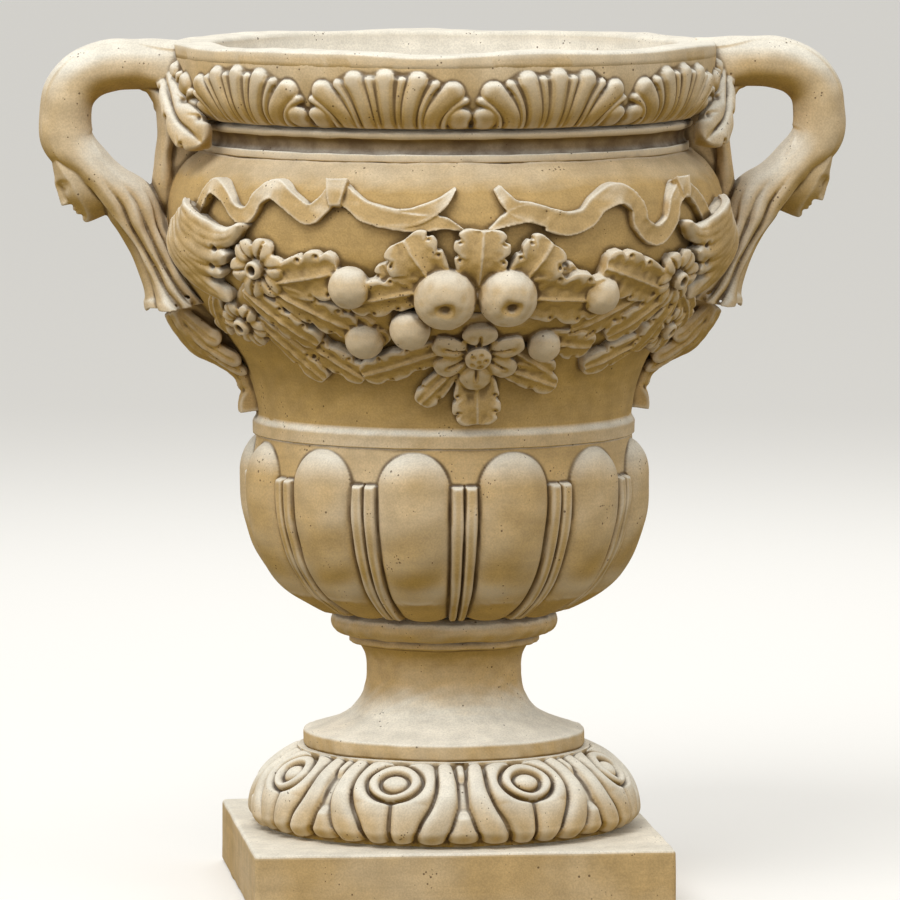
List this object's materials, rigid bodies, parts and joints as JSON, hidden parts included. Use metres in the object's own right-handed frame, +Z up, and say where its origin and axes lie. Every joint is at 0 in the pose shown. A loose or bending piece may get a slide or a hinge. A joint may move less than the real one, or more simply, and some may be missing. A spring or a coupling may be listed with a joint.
{
  "type": "garden urn",
  "caption": "Two-handled footed garden urn on a square plinth, with a lobed bowl, fruit garlands, leaf-carved foot and an open planting mouth.",
  "frame": {"origin": "centre of the plinth's underside", "axes": "+Z up, -Y to the front with its garland, handles along X"},
  "size_m": [0.833, 0.612, 0.8829],
  "materials": {
    "cast_stone": "matte",
    "mortar": "matte",
    "dowel_steel": "satin"
  },
  "bodies": {
    "root": {"plinth": "cast_stone", "foot": "cast_stone", "stem": "cast_stone", "bowl": "cast_stone", "body": "cast_stone", "rim": "cast_stone", "handle_left": "cast_stone", "handle_right": "cast_stone", "console_left": "cast_stone", "console_right": "cast_stone", "acanthus_front_left": "cast_stone", "acanthus_front_right": "cast_stone", "acanthus_back_left": "cast_stone", "acanthus_back_right": "cast_stone", "garland_front": "cast_stone", "garland_back": "cast_stone", "ribbon_front_left": "cast_stone", "ribbon_front_right": "cast_stone", "ribbon_back_left": "cast_stone", "ribbon_back_right": "cast_stone", "plinth_bed": "mortar", "foot_bed": "mortar", "stem_bed": "mortar", "bowl_bed": "mortar", "body_bed": "mortar", "foot_dowels": "dowel_steel", "stem_dowels": "dowel_steel", "bowl_dowels": "dowel_steel", "body_dowels": "dowel_steel", "rim_dowels": "dowel_steel", "handle_dowels": "dowel_steel"}
  },
  "joints": []
}
